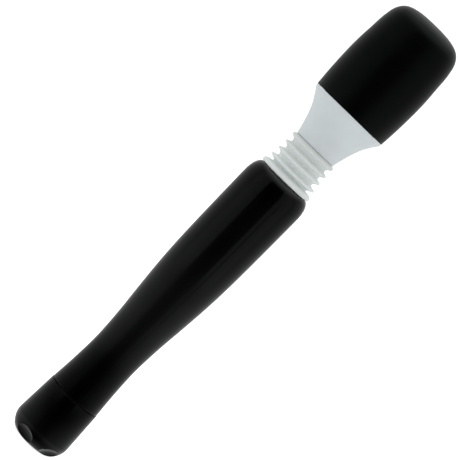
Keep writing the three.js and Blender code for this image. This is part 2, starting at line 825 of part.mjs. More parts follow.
// Three poles round the shaft, with the copper of the windings between them.
function armature() {
  const core = ring(SHAFT_RADIUS + 0.1, CORE.radius, CORE.bottom, CORE.top, SEGMENTS.small);
  const { count, radius, neck, bottom, top, half } = POLES;
  const poles = Array.from({ length: count }, (_, i) => {
    const tip = extruded(sector(neck, radius, half), bottom, top, 6);
    const arm = block(POLE_ARM.length, POLE_ARM.width, bottom, top, POLE_ARM.middle);
    return joined(tip, arm).rotateZ((2 * Math.PI * i) / count);
  });
  return joined(core, ...poles);
}

function motorShaft() {
  return turned(
    [
      [0, SHAFT.bottom],
      [SHAFT_RADIUS, SHAFT.bottom + 0.2],
      [SHAFT_RADIUS, SHAFT.top - 0.3],
      [SHAFT_RADIUS - 0.2, SHAFT.top],
      [0, SHAFT.top],
    ],
    SEGMENTS.small,
  );
}

// A half disc on a hub: the mass off the axis that makes the head vibrate.
function eccentricWeight() {
  const { radius, bottom, top } = WEIGHT;
  const half = new THREE.Shape().absarc(0, 0, radius, 0, Math.PI, false);
  const hub = ring(0, WEIGHT.hub, bottom, top, SEGMENTS.small);
  const bore = ring(0, SHAFT_RADIUS + 0.1, bottom - 1, top + 1, SEGMENTS.small);
  return cut(joined(extruded(half, bottom, top, 14), hub), bore);
}

add("motor_cradle", motorCradle(), NATURAL_PLASTIC);
add("motor_clamp", motorClamp(), NATURAL_PLASTIC);
add("clamp_screw_front", clampScrew(-1), STEEL);
add("clamp_screw_rear", clampScrew(1), STEEL);
add("motor_can", motorCan(), STEEL);
add("motor_end_bell", motorEndBell(), WHITE_PLASTIC);
for (const [name, side] of [
  ["motor_terminal_red", 1],
  ["motor_terminal_black", -1],
]) {
  const tag = block(TAG.thickness, TAG.width, TAG.bottom, MOTOR_BOTTOM - 0.1, side * TAG.place);
  add(name, tag, COPPER);
}
add("magnet_left", magnet(-1), FERRITE);
add("magnet_right", magnet(1), FERRITE);
add("armature", armature(), COPPER);
add(
  "commutator",
  ring(
    SHAFT_RADIUS + 0.1,
    COMMUTATOR.radius,
    COMMUTATOR.bottom,
    COMMUTATOR.top,
    SEGMENTS.small,
  ),
  COPPER,
);
add("motor_shaft", motorShaft(), STEEL);
add("eccentric_weight", eccentricWeight(), BRASS);

export default wand;
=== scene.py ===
"""A slim battery wand massager: glossy black handle and twist dial, ribbed white neck, flared
white collar and a head under a soft black cover. Lengths are in millimetres until a mesh is
made, and heights are measured up the wand from its base, as in the CAD frame."""

import json
import math

import bmesh
import bpy
from mathutils import Matrix, Vector


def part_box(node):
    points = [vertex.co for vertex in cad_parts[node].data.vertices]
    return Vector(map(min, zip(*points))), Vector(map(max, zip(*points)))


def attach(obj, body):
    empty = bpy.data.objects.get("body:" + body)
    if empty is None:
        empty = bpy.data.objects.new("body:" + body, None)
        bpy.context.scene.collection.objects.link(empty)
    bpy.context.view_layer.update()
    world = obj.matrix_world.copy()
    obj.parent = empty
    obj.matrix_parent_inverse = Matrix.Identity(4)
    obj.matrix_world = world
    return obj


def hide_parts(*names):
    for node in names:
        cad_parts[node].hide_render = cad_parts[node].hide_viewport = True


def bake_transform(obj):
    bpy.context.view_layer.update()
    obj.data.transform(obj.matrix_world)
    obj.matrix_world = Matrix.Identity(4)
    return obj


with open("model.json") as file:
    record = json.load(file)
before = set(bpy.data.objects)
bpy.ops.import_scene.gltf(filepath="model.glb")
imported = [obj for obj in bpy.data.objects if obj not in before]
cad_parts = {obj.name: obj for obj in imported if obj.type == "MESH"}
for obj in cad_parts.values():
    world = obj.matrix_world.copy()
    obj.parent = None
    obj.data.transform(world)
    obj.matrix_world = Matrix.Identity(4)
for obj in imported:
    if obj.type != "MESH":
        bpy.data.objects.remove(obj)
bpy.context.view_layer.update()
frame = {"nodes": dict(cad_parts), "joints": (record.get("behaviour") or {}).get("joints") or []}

MM = 0.001
TURN = 2 * math.pi
scene = bpy.context.scene


# ------------------------------------------------------------------ places from the frame


def low(node):
    """The lowest height of a CAD node, in millimetres."""
    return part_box(node)[0][2] / MM


def high(node):
    """The highest height of a CAD node, in millimetres."""
    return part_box(node)[1][2] / MM


def joint_height(name):
    """The height of a hinge's centre, in millimetres."""
    return next(j["pos_m"][2] for j in frame["joints"] if j["name"] == name) / MM


# ------------------------------------------------------------------ outlines


def through(points, steps):
    """A smooth line through points, in that many steps. They are (radius, height) or in space."""
    ends = [points[0], *points, points[-1]]
    spans = len(points) - 1
    line = []
    for i in range(steps + 1):
        at = i / steps * spans
        span = min(int(at), spans - 1)
        t = at - span
        a, b, c, d = (Vector(p) for p in ends[span : span + 4])
        square = 2 * a - 5 * b + 4 * c - d
        cube = 3 * b - a - 3 * c + d
        line.append(tuple(0.5 * (2 * b + (c - a) * t + square * t**2 + cube * t**3)))
    return line


def arc(centre, across, along, start, end, steps=16):
    """Part of an ellipse about a centre, between two angles in degrees."""
    angles = [math.radians(start + (end - start) * i / steps) for i in range(steps + 1)]
    return [(centre[0] + across * math.cos(a), centre[1] + along * math.sin(a)) for a in angles]


FILLET_SHARE = 0.45  # the most of each side of a corner that its fillet may take
FILLET_STEP = math.radians(15)


def rounded(loop):
    """The loop with every (radius, height, fillet) corner turned into an arc of that fillet."""
    made = []
    for i, point in enumerate(loop):
        here = Vector(point[:2])
        if len(point) == 2:
            made.append(tuple(here))
            continue
        before = Vector(loop[i - 1][:2]) - here
        after = Vector(loop[(i + 1) % len(loop)][:2]) - here
        half = before.angle(after) / 2
        longest = FILLET_SHARE * min(before.length, after.length)
        reach = min(point[2] / math.tan(half), longest)
        radius = reach * math.tan(half)
        centre = here + (before.normalized() + after.normalized()).normalized() * radius / math.sin(half)
        first = here + before.normalized() * reach - centre
        turn = first.angle_signed(here + after.normalized() * reach - centre)
        steps = max(2, math.ceil(abs(turn) / FILLET_STEP))
        for k in range(steps + 1):
            arm = first.copy()
            arm.rotate(Matrix.Rotation(-turn * k / steps, 2))
            made.append(tuple(centre + arm))
    return made


def raised(loop, height):
    """The (radius, height) or (radius, height, fillet) points, moved up the wand."""
    return [(radius, z + height, *fillet) for radius, z, *fillet in loop]


def coil(bottom, top, wire, turns, radius, steps, taper=0):
    """The middle line of a wire wound up the wand's axis, in that many steps a turn. Its radius
    shrinks by the taper on the way."""
    count = steps * turns
    line = []
    for i in range(count + 1):
        share = i / count
        angle = TURN * turns * share
        reach = radius - taper * share
        height = bottom + wire + (top - bottom - 2 * wire) * share
        line.append((reach * math.cos(angle), reach * math.sin(angle), height))
    return line


# ------------------------------------------------------------------ meshes


SHARP_EDGE = math.radians(32)


def mesh_object(name, mesh):
    """A new object for a finished mesh, smooth but for its real edges."""
    for polygon in mesh.polygons:
        polygon.use_smooth = True
    mesh.set_sharp_from_angle(angle=SHARP_EDGE)
    made = bpy.data.objects.new(name, mesh)
    scene.collection.objects.link(made)
    return made


def from_bmesh(name, bm):
    """The object of a bmesh, its faces turned outwards."""
    bmesh.ops.remove_doubles(bm, verts=bm.verts, dist=1e-7)
    bmesh.ops.recalc_face_normals(bm, faces=bm.faces)
    mesh = bpy.data.meshes.new(name)
    bm.to_mesh(mesh)
    bm.free()
    return mesh_object(name, mesh)


def lathe(name, loop, segments=128, seams=None):
    """A solid of revolution about the wand's axis from a closed loop of (radius, height).
    Seams are fine grooves down some of its rows, at angles in degrees from +X."""
    loop = rounded(loop)
    columns = [TURN * i / segments for i in range(segments)]
    grooves = [math.radians(angle) % TURN for angle in seams["angles"]] if seams else []
    for groove in grooves:
        half = seams["half_width"] / max(radius for radius, _ in loop)
        columns = [c for c in columns if abs(c - groove) > 1.5 * half]
        columns += [groove - half, groove, groove + half]
    columns.sort()
    bm = bmesh.new()
    rings = []
    for row, (radius, height) in enumerate(loop):
        if radius < 1e-6:
            rings.append([bm.verts.new((0, 0, height * MM))] * len(columns))
            continue
        ring = []
        for angle in columns:
            r = radius
            if angle in grooves and row in seams["rows"]:
                r -= seams["depth"]
            ring.append(bm.verts.new((r * math.cos(angle) * MM, r * math.sin(angle) * MM, height * MM)))
        rings.append(ring)
    for row, ring in enumerate(rings):
        above = rings[(row + 1) % len(rings)]
        for i in range(len(columns)):
            j = (i + 1) % len(columns)
            corners = list(dict.fromkeys([ring[i], ring[j], above[j], above[i]]))
            if len(corners) > 2:
                bm.faces.new(corners)
    return from_bmesh(name, bm)


DOME_HEIGHT = 0.5  # of a wire's end, as a share of its radius
DOME_RINGS = (math.radians(35), math.radians(65))


def tube(name, points, radius, sides=12):
    """A round wire along points, in millimetres, with domed ends."""
    path = [Vector(p) for p in points]
    bm = bmesh.new()
    tangents = []
    for i in range(len(path)):
        step = path[min(i + 1, len(path) - 1)] - path[max(i - 1, 0)]
        tangents.append(step.normalized())
    across = tangents[0].orthogonal().normalized()
    stations = []
    for i, (place, tangent) in enumerate(zip(path, tangents)):
        if i:
            across = tangents[i - 1].rotation_difference(tangent) @ across
        across = (across - across.dot(tangent) * tangent).normalized()
        stations.append((place, tangent, across, 1.0))
    for end, way in ((0, -1), (-1, 1)):
        place, tangent, side, _ = stations[end]
        dome = [
            (place + way * tangent * radius * DOME_HEIGHT * math.sin(a), tangent, side, math.cos(a))
            for a in DOME_RINGS
        ]
        stations = dome[::-1] + stations if way < 0 else stations + dome
    angles = [TURN * k / sides for k in range(sides)]
    rings = []
    for place, tangent, side, share in stations:
        other = tangent.cross(side)
        spokes = [side * math.cos(a) + other * math.sin(a) for a in angles]
        rings.append([bm.verts.new((place + radius * share * spoke) * MM) for spoke in spokes])
    for ring, above in zip(rings, rings[1:]):
        for k in range(sides):
            bm.faces.new([ring[k], ring[(k + 1) % sides], above[(k + 1) % sides], above[k]])
    bm.faces.new(rings[0][::-1])
    bm.faces.new(rings[-1])
    return from_bmesh(name, bm)


def upright_block(name, width, depth, reach, bottom, top):
    """A block between two heights, that far out towards +Y, to cut a slot with."""
    bm = bmesh.new()
    bmesh.ops.create_cube(bm, size=1)
    bmesh.ops.scale(bm, vec=Vector((width, depth, top - bottom)) * MM, verts=bm.verts)
    bmesh.ops.translate(bm, vec=Vector((0, reach, (top + bottom) / 2)) * MM, verts=bm.verts)
    return from_bmesh(name, bm)


def cut(piece, others):
    """The piece with the other solids cut from it, for good."""
    for other in others:
        step = piece.modifiers.new("cut", "BOOLEAN")
        step.operation = "DIFFERENCE"
        step.solver = "EXACT"
        step.object = other
    evaluated = piece.evaluated_get(bpy.context.evaluated_depsgraph_get())
    mesh = bpy.data.meshes.new_from_object(evaluated)
    name = piece.name
    for spent in [piece, *others]:
        bpy.data.objects.remove(spent)
    return mesh_object(name, mesh)


# ------------------------------------------------------------------ node graphs


class Graph:
    """A node tree being written, with short forms for the nodes that repeat."""

    def __init__(self, tree):
        self.tree = tree
        tree.nodes.clear()

    def node(self, kind, inputs=None, **settings):
        """A new node. Its inputs take values or the outputs of other nodes."""
        made = self.tree.nodes.new(kind)
        for key, value in settings.items():
            setattr(made, key, value)
        for key, value in (inputs or {}).items():
            if isinstance(value, bpy.types.NodeSocket):
                self.tree.links.new(value, made.inputs[key])
            else:
                made.inputs[key].default_value = value
        return made

    def maths(self, operation, a, b=0.0):
        """One sum on one or two values."""
        return self.node("ShaderNodeMath", {0: a, 1: b}, operation=operation).outputs[0]

    def remap(self, value, start, end, to_start=0.0, to_end=1.0, smooth=False):
        """The value moved from one range to another, and kept in it."""
        kind = "SMOOTHSTEP" if smooth else "LINEAR"
        inputs = {0: value, 1: start, 2: end, 3: to_start, 4: to_end}
        return self.node("ShaderNodeMapRange", inputs, interpolation_type=kind).outputs[0]

    def blend(self, share, a, b):
        """The first colour, with that share of the second in it."""
        inputs = {"Factor": share, "A": a, "B": b}
        made = self.node("ShaderNodeMix", data_type="RGBA")
        for socket in made.inputs:
            if socket.enabled and socket.name in inputs:
                value = inputs[socket.name]
                if isinstance(value, bpy.types.NodeSocket):
                    self.tree.links.new(value, socket)
                else:
                    socket.default_value = value
        return next(s for s in made.outputs if s.enabled)

    def azimuth(self, way):
        """The angle in degrees of a direction's x, y, z outputs, round from the camera's side."""
        side = self.maths("ABSOLUTE", way[0])
        front = self.maths("MULTIPLY", way[1], -1.0)
        return self.maths("DEGREES", self.maths("ARCTAN2", side, front))

    def ramp(self, value, stops):
        """A grey level that runs evenly between (value, level) stops, the first of them at 0."""
        end = stops[-1][0]
        share = self.maths("DIVIDE", value, end)
        made = self.node("ShaderNodeValToRGB", {0: share})
        points = made.color_ramp.elements
        while len(points) < len(stops):
            points.new(0.5)
        for point, (at, level) in zip(points, stops):
            point.position = at / end
            point.color = (level, level, level, 1)
        return made.outputs[0]

    def bump(self, height, depth_mm, inputs=None):
        """The normal of a skin that stands out by up to that many millimetres."""
        inputs = {"Height": height, "Strength": 1.0, "Distance": depth_mm * MM, **(inputs or {})}
        return self.node("ShaderNodeBump", inputs).outputs[0]

    def noise(self, place, size_mm, detail=3.0, stretch=(1, 1, 1)):
        """Noise whose blotches are about that many millimetres across."""
        scaled = self.node("ShaderNodeMapping", {"Vector": place, "Scale": stretch}).outputs[0]
        inputs = {"Vector": scaled, "Scale": 1 / (size_mm * MM), "Detail": detail}
        return self.node("ShaderNodeTexNoise", inputs).outputs["Fac"]


NOISE_SPAN = (0.3, 0.7)  # where nearly all of a noise's values lie
BLOTCH_EDGES = (0.35, 0.65)
HAIR = {"size": 0.5, "stretch": (1, 1, 0.03), "edges": (0.66, 0.72)}  # hairline scratches
WAVE_LENGTH = 9  # of the slow wave in a moulded skin


def surface(
    name,
    colours,
    roughness,
    blotch=12,
    grain=0.4,
    grain_depth=0.004,
    metallic=0.0,
    scratches=0.0,
    wave_depth=0.0,
    specular=0.5,
    painted_shade=None,
    settings=None,
):
    """A moulded or metal finish: two colours in soft blotches, roughness that drifts between two
    values, a fine grain, a slower wave in the skin, and hairline scratches along the wand. It may
    carry a painted shade: the colour blended to a third colour between two heights."""
    material = bpy.data.materials.new(name)
    material.use_nodes = True
    g = Graph(material.node_tree)
    place = g.node("ShaderNodeTexCoord").outputs["Object"]
    blotches = g.remap(g.noise(place, blotch), *BLOTCH_EDGES, smooth=True)
    colour = g.blend(blotches, (*colours[0], 1), (*colours[1], 1))
    # painted shade: the colour turns towards a third colour between two heights, standing in for shade
    # that falls there
    if painted_shade:
        height = g.node("ShaderNodeSeparateXYZ", {0: place}).outputs[2]
        share = g.remap(height, painted_shade["from"] * MM, painted_shade["to"] * MM)
        colour = g.blend(share, colour, (*painted_shade["colour"], 1))
    rough = g.remap(g.noise(place, blotch * 0.6, detail=5), *NOISE_SPAN, *roughness)
    if scratches:
        hair = g.noise(place, HAIR["size"], detail=2, stretch=HAIR["stretch"])
        rough = g.maths("ADD", rough, g.remap(hair, *HAIR["edges"], 0.0, scratches))
    normal = g.bump(g.noise(place, grain, detail=4), grain_depth)
    if wave_depth:
        normal = g.bump(g.noise(place, WAVE_LENGTH, detail=1), wave_depth, {"Normal": normal})
    inputs = {
        "Base Color": colour,
        "Roughness": rough,
        "Metallic": metallic,
        "Normal": normal,
        "Specular IOR Level": specular,
        **(settings or {}),
    }
    shader = g.node("ShaderNodeBsdfPrincipled", inputs)
    g.node("ShaderNodeOutputMaterial", {"Surface": shader.outputs[0]})
    return material


def grey(level, tint=(1, 1, 1)):
    """A colour of that level, tinted."""
    return tuple(level * t for t in tint)


COOL = (0.925, 1.0, 1.025)
GREENISH = (0.945, 1.0, 0.985)

GLOSS_BLACK = surface(
    "gloss_black_plastic",
    (grey(0.0002, COOL), grey(0.0005, COOL)),
    (0.06, 0.1),
    blotch=18,
    grain=0.25,
    grain_depth=0.0001,
    wave_depth=0.002,
    scratches=0.05,
    settings={"Specular Tint": (0.93, 1.0, 0.96, 1)},
)
SATIN_BLACK = surface(
    "satin_black_plastic",
    (grey(0.004), grey(0.006)),
    (0.4, 0.5),
    grain=0.3,
    specular=0.3,
)
SOFT_BLACK = surface(
    "soft_black_rubber",
    (grey(0.0001, COOL), grey(0.0004, COOL)),
    (0.3, 0.36),
    blotch=16,
    grain=0.22,
    grain_depth=0.006,
    specular=0.25,
    settings={"Specular Tint": (0.85, 1.0, 0.92, 1)},
)
WHITE_SHELL = surface(
    "white_moulded_plastic",
    (grey(0.7, COOL), grey(0.74, COOL)),
    (0.4, 0.5),
    blotch=14,
    grain=0.35,
    grain_depth=0.0015,
    wave_depth=0.003,
)
WHITE_FLEXIBLE = surface(
    "white_flexible_sleeve",
    (grey(0.82, GREENISH), grey(0.845, GREENISH)),
    (0.55, 0.65),
    blotch=7,
    grain=0.3,
    grain_depth=0.0012,
    specular=0.35,
    # painted shade: the sleeve darkens up its ribs towards the collar, to offset the brighter light that
    # falls there
    painted_shade={"from": 146, "to": 155, "colour": grey(0.75, GREENISH)},
)
NATURAL = surface(
    "natural_nylon",
    (grey(0.55, (1, 0.99, 0.92)), grey(0.6, (1, 0.99, 0.93))),
    (0.4, 0.5),
    grain_depth=0.005,
)
BRASS = surface(
    "sheet_brass",
    ((0.62, 0.41, 0.15), (0.7, 0.49, 0.2)),
    (0.22, 0.36),
    blotch=5,
    metallic=1,
    scratches=0.2,
)
STEEL = surface(
    "spring_steel",
    (grey(0.5), grey(0.6)),
    (0.2, 0.33),
    blotch=4,
    metallic=1,
    scratches=0.15,
)
COPPER = surface(
    "copper_winding",
    ((0.55, 0.22, 0.1), (0.66, 0.3, 0.15)),
    (0.25, 0.4),
    blotch=3,
    metallic=1,
)
FERRITE = surface(
    "ferrite",
    (grey(0.02), grey(0.035)),
    (0.7, 0.85),
    blotch=3,
    grain=0.2,
    grain_depth=0.02,
)
BOARD = surface(
    "circuit_board",
    ((0.01, 0.09, 0.04), (0.015, 0.12, 0.055)),
    (0.3, 0.42),
    blotch=4,
)
NITRILE = surface(
    "nitrile_seal",
    (grey(0.008), grey(0.013)),
    (0.45, 0.6),
    blotch=4,
    grain_depth=0.006,
)
RED_LEAD = surface(
    "red_insulation",
    ((0.42, 0.015, 0.012), (0.5, 0.025, 0.02)),
    (0.35, 0.45),
    blotch=6,
)
BLACK_LEAD = surface(
    "black_insulation",
    (grey(0.008), grey(0.014)),
    (0.35, 0.45),
    blotch=6,
)


def finished(piece, material, body, slot, *nodes):
    """Dresses a piece, puts it on its body and has it stand for its CAD nodes."""
    piece.data.materials.clear()
    piece.data.materials.append(material)
    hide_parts(*nodes)
    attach(piece, body)


# ------------------------------------------------------------------ camera and studio


EYE = Vector((0, -850, 175))
AIM = Vector((-1.72, 0, 112))
LEAN = math.radians(45.76)  # of the wand's axis in the picture, up from the picture's lower edge
LENS = 174.9


def camera():
    """A long lens, level with the head's rim and rolled so that the wand points up to the right."""
    forward = (AIM - EYE).normalized()
    right = forward.cross(Vector((0, 0, 1))).normalized()
    up = right.cross(forward)
    roll = math.pi / 2 - LEAN
    x_axis = right * math.cos(roll) + up * math.sin(roll)
    y_axis = up * math.cos(roll) - right * math.sin(roll)
    data = bpy.data.cameras.new("camera")
    data.lens = LENS
    data.sensor_width = 36
    data.clip_start = 0.01
    data.clip_end = 50
    made = bpy.data.objects.new("camera", data)
    turned = Matrix((x_axis, y_axis, -forward)).transposed().to_4x4()
    made.matrix_world = Matrix.Translation(EYE * MM) @ turned
    scene.collection.objects.link(made)
    scene.camera = made


# How bright the studio's walls are at each angle round from the camera's side, in degrees: what
# they shed on matt faces, and what glossy faces mirror of them and of the table.
TENT = [(0, 0.2), (24, 0.25), (32, 0.72), (80, 0.94), (180, 1.35)]
GLEAM = [
    (0, 0.0),
    (26, 0.015),
    (46, 0.05),
    (60, 0.075),
    (72, 0.115),
    (87, 0.16),
    (104, 0.22),
    (120, 0.28),
    (140, 0.38),
    (180, 0.6),
]
TABLE_GLEAM = [(0, 0.07), (20, 0.08), (35, 0.16), (50, 0.2), (90, 0.24), (180, 0.27)]

# The rest by elevation: how bright it is, and the two elevations that it comes in between.
TENT_ENDS = {"level": 0.78, "edges": (12, 50)}  # shed from above and below
CEILING = {"level": 0.8, "edges": (30, 70)}
TABLE = {"top": (-3, -17), "near": (-40, -20), "near_level": 0.25}
WALL_FOOT = {"level": 0.4, "edges": (-75, -40)}
UNDERFOOT = {"level": 0.12, "edges": (-50, -72)}
BACKDROP = 1.2  # what the camera sees


def studio():
    """A white tent round the wand, open in front where the camera stands."""
    world = bpy.data.worlds.new("studio")
    world.use_nodes = True
    scene.world = world
    g = Graph(world.node_tree)
    way = g.node("ShaderNodeSeparateXYZ", {0: g.node("ShaderNodeTexCoord").outputs["Generated"]}).outputs
    azimuth = g.azimuth(way)
    elevation = g.maths("DEGREES", g.maths("ARCSINE", way[2]))

    table = g.maths(
        "MULTIPLY",
        g.remap(elevation, *TABLE["top"]),
        g.remap(elevation, *TABLE["near"], TABLE["near_level"], 1.0),
    )
    table = g.maths("MULTIPLY", table, g.ramp(azimuth, TABLE_GLEAM))
    foot = g.remap(elevation, *WALL_FOOT["edges"], WALL_FOOT["level"], 1.0)
    walls = g.maths("MULTIPLY", g.ramp(azimuth, GLEAM), foot)
    ceiling = g.remap(elevation, *CEILING["edges"], smooth=True)
    ceiling = g.maths("MULTIPLY", ceiling, CEILING["level"])
    underfoot = g.remap(elevation, *UNDERFOOT["edges"], 0.0, UNDERFOOT["level"])
    mirrored = g.maths("ADD", walls, ceiling)
    mirrored = g.maths("ADD", mirrored, table)
    mirrored = g.maths("ADD", mirrored, underfoot)

    ends = g.remap(g.maths("ABSOLUTE", elevation), *TENT_ENDS["edges"])
    ends = g.maths("MULTIPLY", ends, TENT_ENDS["level"])
    tent = g.maths("MAXIMUM", g.ramp(azimuth, TENT), ends)

    rays = g.node("ShaderNodeLightPath").outputs
    strength = g.node("ShaderNodeMix", {0: rays["Is Glossy Ray"], 2: tent, 3: mirrored}).outputs[0]
    strength = g.node("ShaderNodeMix", {0: rays["Is Camera Ray"], 2: strength, 3: BACKDROP}).outputs[0]
    glow = g.node("ShaderNodeBackground", {"Color": (1, 1, 1, 1), "Strength": strength})
    g.node("ShaderNodeOutputWorld", {"Surface": glow.outputs[0]})


PANEL = {
    "reach": 300,  # from the wand's axis
    "middle": math.radians(53),  # round from the camera's side
    "width": 300,
    "bottom": 10,
    "top": 430,
    "glow": 0.1,
    "near_edge": (26, 31),  # the degrees round from the camera's side that it fades in between
    "far_edge": (88, 60),
    "fade": 45,  # the height over which its foot fades in
}


def soft_panel(side):
    """A tall white panel beside the camera, for the glossy faces to mirror. Its edges fade."""
    bm = bmesh.new()
    height = PANEL["top"] - PANEL["bottom"]
    bmesh.ops.create_grid(bm, x_segments=1, y_segments=1, size=0.5)
    bmesh.ops.scale(bm, vec=Vector((PANEL["width"], height, 1)) * MM, verts=bm.verts)
    out = Vector((side * math.sin(PANEL["middle"]), -math.cos(PANEL["middle"]), 0))
    across = Vector((-out.y, out.x, 0))
    frame_of = Matrix((across, Vector((0, 0, 1)), out)).transposed().to_4x4()
    centre = out * PANEL["reach"] + Vector((0, 0, (PANEL["top"] + PANEL["bottom"]) / 2))
    bmesh.ops.transform(bm, matrix=Matrix.Translation(centre * MM) @ frame_of, verts=bm.verts)
    made = from_bmesh("panel_left" if side < 0 else "panel_right", bm)
    material = bpy.data.materials.new(made.name)
    material.use_nodes = True
    g = Graph(material.node_tree)
    place = g.node("ShaderNodeSeparateXYZ", {0: g.node("ShaderNodeTexCoord").outputs["Object"]}).outputs
    azimuth = g.azimuth(place)
    near = g.remap(azimuth, *PANEL["near_edge"], smooth=True)
    far = g.remap(azimuth, *PANEL["far_edge"], smooth=True)
    faded = PANEL["bottom"] + PANEL["fade"]
    foot = g.remap(place[2], PANEL["bottom"] * MM, faded * MM, smooth=True)
    strength = g.maths("MULTIPLY", g.maths("MULTIPLY", near, far), foot)
    strength = g.maths("MULTIPLY", strength, PANEL["glow"])
    glow = g.node("ShaderNodeEmission", {"Color": (1, 1, 1, 1), "Strength": strength})
    see_through = g.node("ShaderNodeBsdfTransparent")
    both = g.node("ShaderNodeAddShader", {0: glow.outputs[0], 1: see_through.outputs[0]})
    g.node("ShaderNodeOutputMaterial", {"Surface": both.outputs[0]})
    made.data.materials.append(material)
    made.visible_camera = False
    made.visible_diffuse = False
    made.visible_shadow = False


FLOOR_GLOW = {"shed": 0.15, "seen": 0.9}  # what lights the wand, and what the camera sees
FLOOR_HALF_WIDTH = 3  # metres


def floor():
    """A pale table top that glows until it looks white, and is clear from below.
    It stays under the base: where the door is out, the wand is lifted off it."""
    bm = bmesh.new()
    bmesh.ops.create_grid(bm, x_segments=1, y_segments=1, size=FLOOR_HALF_WIDTH)
    made = from_bmesh("floor", bm)
    made.location.z = low("dial_cap") * MM
    material = bpy.data.materials.new("floor")
    material.use_nodes = True
    g = Graph(material.node_tree)
    place = g.node("ShaderNodeTexCoord").outputs["Object"]
    colour = g.blend(g.noise(place, 40), (*grey(0.9), 1), (*grey(0.93), 1))
    seen = g.node("ShaderNodeLightPath").outputs["Is Camera Ray"]
    inputs = {
        "Base Color": colour,
        "Roughness": 0.8,
        "Emission Color": (1, 1, 1, 1),
        "Emission Strength": g.remap(seen, 0, 1, FLOOR_GLOW["shed"], FLOOR_GLOW["seen"]),
    }
    top = g.node("ShaderNodeBsdfPrincipled", inputs).outputs[0]
    under = g.node("ShaderNodeNewGeometry").outputs["Backfacing"]
    clear = g.node("ShaderNodeBsdfTransparent").outputs[0]
    shader = g.node("ShaderNodeMixShader", {0: under, 1: top, 2: clear})
    g.node("ShaderNodeOutputMaterial", {"Surface": shader.outputs[0]})
    made.data.materials.append(material)
    made.visible_glossy = False
    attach(made, "battery_door")


scene.view_settings.view_transform = "Standard"
camera()
studio()
soft_panel(-1)
soft_panel(1)
floor()


# ------------------------------------------------------------------ handle

SHELL_OUTLINE = [
    (11.35, 24.95),
    (10.6, 35),
    (10.15, 47),
    (10.75, 59.5),
    (11.85, 71.5),
    (12.9, 84),
    (13.5, 96),
    (13.8, 112),
    (13.95, 129),
]
SHELL_CORNER = {"across": 3.6, "along": 7.2, "sweep": 72}
SHELL_SEAMS = {  # where the two halves of the mould met
    "angles": (-68, 112),
    "rows": range(4, 68),
    "depth": 0.1,
    "half_width": 0.16,
}
SHELL_BORE = [  # down past the lip between the battery tube and the door
    (11, 112),
    (10.8, 97),
    (9.9, 82),
    (8.5, 62),
    (8.5, 36.4),
    (7.8, 36.4),
    (7.8, 35.4),
    (9.2, 35.4),
]
RETURN_GROOVE = {"width": 4, "depth": 1.8, "reach": 8.2, "bottom": 34.4, "top": 76}


def handle_shell():
    """The waisted shell, with a groove in its bore for the return strip."""
    top, rear = high("handle_shell"), low("handle_shell")
    across, along, sweep = SHELL_CORNER.values()
    centre = (SHELL_OUTLINE[-1][0] - across, top - along * math.sin(math.radians(sweep)))
    loop = [
        (SHELL_OUTLINE[0][0], rear, 0.08),
        *through(SHELL_OUTLINE, steps=60)[1:],
        *arc(centre, across, along, 2, sweep),
        (SHELL_BORE[0][0], top, 0.12),
        *SHELL_BORE,
        (SHELL_BORE[-1][0], rear, 0.25),
    ]
    body = lathe("handle_body", loop, seams=SHELL_SEAMS)
    body = cut(body, [upright_block("groove", **RETURN_GROOVE)])
    finished(body, GLOSS_BLACK, "handle", "gloss_black", "handle_shell")


handle_shell()


# ------------------------------------------------------------------ dial

SCALLOPS = 5
SCALLOP = {"radius": 9.75, "half_width": 11.5, "reach": 17.3, "drop": 3, "first": -39.5}
DIAL_SIDE = {"foot": 6.5, "bulge": 5.9, "height": 7.3}  # widest by the bulge at that height
DIAL_RIM = {"outer": 11.5, "inner": 10}
DIAL_HOLLOW = [  # from the rim down to the floor, and up over the hub
    (10, 7.2),
    (9.5, 5.2),
    (6.4, 5.2),
    (6.4, 2),
    (2.4, 2, 0.3),
    (2.4, 10.4, 0.3),
    (0, 10.4),
]


def scallop_ball(name, angle):
    """A wide ball beside the dial, to cut a hollow for a finger with."""
    bm = bmesh.new()
    bmesh.ops.create_uvsphere(bm, u_segments=96, v_segments=64, radius=SCALLOP["radius"] * MM)
    ball = from_bmesh(name, bm)
    wide = Matrix.Scale(SCALLOP["half_width"] / SCALLOP["radius"], 4, (0, 1, 0))
    out = Matrix.Translation(Vector((SCALLOP["reach"], 0, -SCALLOP["drop"])) * MM)
    ball.data.transform(Matrix.Rotation(angle, 4, "Z") @ out @ wide)
    return ball


def dial():
    """The domed dial, scalloped for the fingers."""
    top = high("dial_cap")
    foot, bulge, height = DIAL_SIDE.values()
    loop = [
        (0, 0),
        *arc((foot, height), bulge, height, -90, 0, 32),
        (DIAL_RIM["outer"], top, 0.08),
        (DIAL_RIM["inner"], top, 0.2),
        *DIAL_HOLLOW,
    ]
    knob = lathe("twist_dial", loop, segments=160)
    balls = []
    for i in range(SCALLOPS):
        angle = math.radians(SCALLOP["first"] + 360 * i / SCALLOPS)
        balls.append(scallop_ball(f"ball_{i}", angle))
    finished(cut(knob, balls), GLOSS_BLACK, "speed_dial", "gloss_black", "dial_cap")


dial()


# ------------------------------------------------------------------ battery door

PLUG = {"hub_bore": 2.6, "radius": 9, "cup": 7.6, "floor": 9.4}
PLUG_SIDE = [  # the grip flange, then the groove of the seal
    (9, 23.2),
    (9.8, 23.2, 0.15),
    (9.8, 24.75, 0.2),
    (9, 24.75),
    (9, 28),
    (8.4, 28),
    (8.4, 29.4),
    (9, 29.4, 0.1),
]
TERMINAL_CHANNEL = {"width": 3.6, "depth": 1, "reach": 7.55}
SEAL = {"reach": 8.78, "radius": 0.34}
CONTACT_SPRING = {"wire": 0.3, "turns": 4, "radius": 6.2, "steps": 28, "taper": 3.0}


